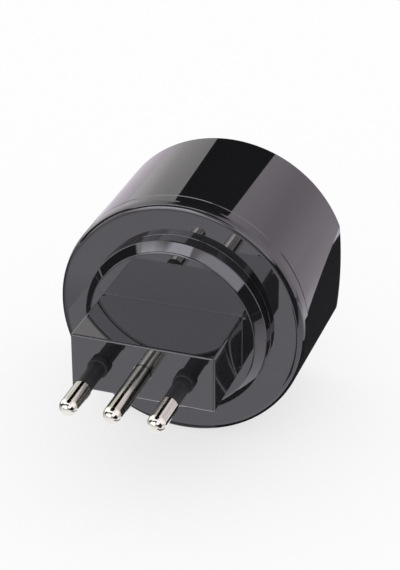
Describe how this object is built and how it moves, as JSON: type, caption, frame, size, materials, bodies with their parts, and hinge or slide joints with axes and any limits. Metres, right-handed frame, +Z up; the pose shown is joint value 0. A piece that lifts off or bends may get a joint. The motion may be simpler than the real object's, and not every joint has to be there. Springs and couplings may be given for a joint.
{
  "type": "travel adapter",
  "caption": "Round gloss black travel adapter with an in-line three-pin plug block on one side and an earthed, shuttered socket in a round recess on the other.",
  "frame": {"origin": "where the earth pin's axis crosses the front face of the plug block", "axes": "+X along the row of pins, +Y from the plug to the socket, +Z up, with the pins pointing along -Y"},
  "size_m": [0.0564, 0.0783, 0.0568],
  "materials": {
    "gloss_black_plastic": "high gloss moulded black",
    "shutter_plastic": "satin moulded dark grey",
    "carrier_plastic": "matte moulded dark grey",
    "sleeve_plastic": "matte black insulating sleeve",
    "nickel_plate": "bright nickel plated brass",
    "clip_nickel": "nickel plated spring bronze",
    "contact_brass": "stamped brass",
    "spring_steel": "bright spring steel",
    "screw_steel": "zinc plated steel"
  },
  "bodies": {
    "adapter": {"plug_cover": "gloss_black_plastic", "housing_shell": "gloss_black_plastic", "socket_insert": "gloss_black_plastic", "shutter_spring": "spring_steel", "contact_carrier": "carrier_plastic", "line_contact": "contact_brass", "neutral_contact": "contact_brass", "line_contact_clamp": "spring_steel", "neutral_contact_clamp": "spring_steel", "line_pin": "nickel_plate", "neutral_pin": "nickel_plate", "earth_pin": "nickel_plate", "line_pin_sleeve": "sleeve_plastic", "neutral_pin_sleeve": "sleeve_plastic", "earth_bridge": "contact_brass", "upper_earth_clip": "clip_nickel", "lower_earth_clip": "clip_nickel", "earth_rivets": "contact_brass", "housing_screws": "screw_steel", "carrier_screws": "screw_steel"},
    "shutter": {"shutter": "shutter_plastic"}
  },
  "joints": [
    {"name": "shutter_turn", "type": "hinge", "parent": "adapter", "child": "shutter", "pos_m": [0, 0.0365, 0], "axis": [0, -1, 0], "range_deg": [0, 40], "stiffness_Nm_per_rad": 0.004, "springref_deg": -20.05, "deforming": ["shutter_spring"]}
  ]
}
